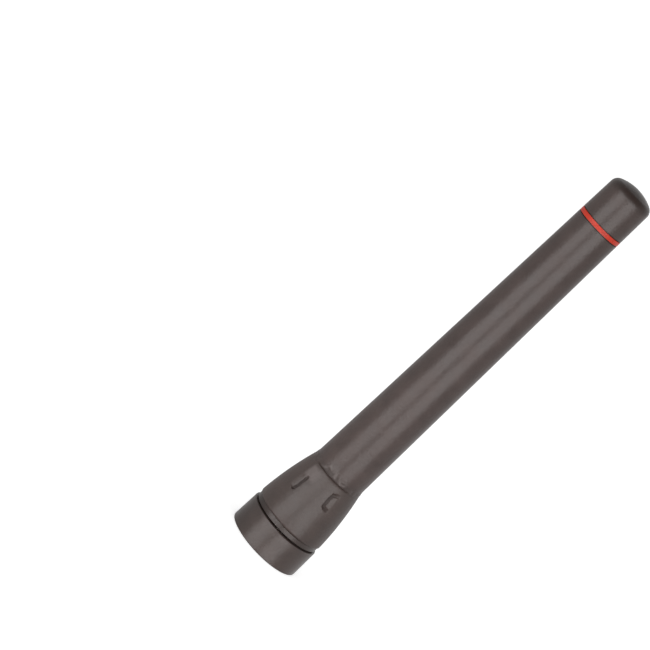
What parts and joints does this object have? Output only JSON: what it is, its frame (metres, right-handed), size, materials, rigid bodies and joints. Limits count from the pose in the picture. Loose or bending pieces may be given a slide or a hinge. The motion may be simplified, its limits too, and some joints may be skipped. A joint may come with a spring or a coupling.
{
  "type": "stubby radio aerial",
  "caption": "Short rubber-covered aerial for a hand-held two-way radio, with a bell-shaped boot and a base collar that turns.",
  "frame": {"origin": "centre of the turning collar's flat base", "axes": "+Z along the aerial, from its base to its rounded tip; -Y is the side with the two moulded grip marks"},
  "size_m": [0.0142, 0.0142, 0.087],
  "materials": {
    "collar_plastic": "fine matt moulded grain",
    "nickel_plate": "turned and nickel plated",
    "spring_bronze": "drawn wire",
    "seal_rubber": "smooth silicone rubber",
    "gold_plate": "turned and gold plated",
    "insulator_white": "waxy white",
    "hard_black": "moulded, slight sheen",
    "brass": "turned",
    "solder": "dull",
    "copper_plate": "copper-plated spring wire",
    "core_plastic": "natural plastic rod",
    "sleeve_plastic": "shrunk plastic film",
    "boot_rubber": "matt moulded rubber",
    "sheath_rubber": "matt moulded rubber",
    "band_red": "smooth coloured plastic"
  },
  "bodies": {
    "whip": {"plug_body": "gold_plate", "plug_insulator": "insulator_white", "centre_pin": "gold_plate", "retaining_ring": "spring_bronze", "nut_seal": "seal_rubber", "base_moulding": "hard_black", "coil_holder": "brass", "solder_joint": "solder", "coil": "copper_plate", "core_rod": "core_plastic", "coil_cap": "hard_black", "coil_sleeve": "sleeve_plastic", "boot": "boot_rubber", "sheath": "sheath_rubber", "colour_band": "band_red"},
    "collar": {"base_collar": "collar_plastic", "coupling_nut": "nickel_plate"}
  },
  "joints": [
    {"name": "collar_turn", "type": "hinge", "parent": "whip", "child": "collar", "pos_m": [0, 0, 0], "axis": [0, 0, 1], "continuous": true}
  ]
}
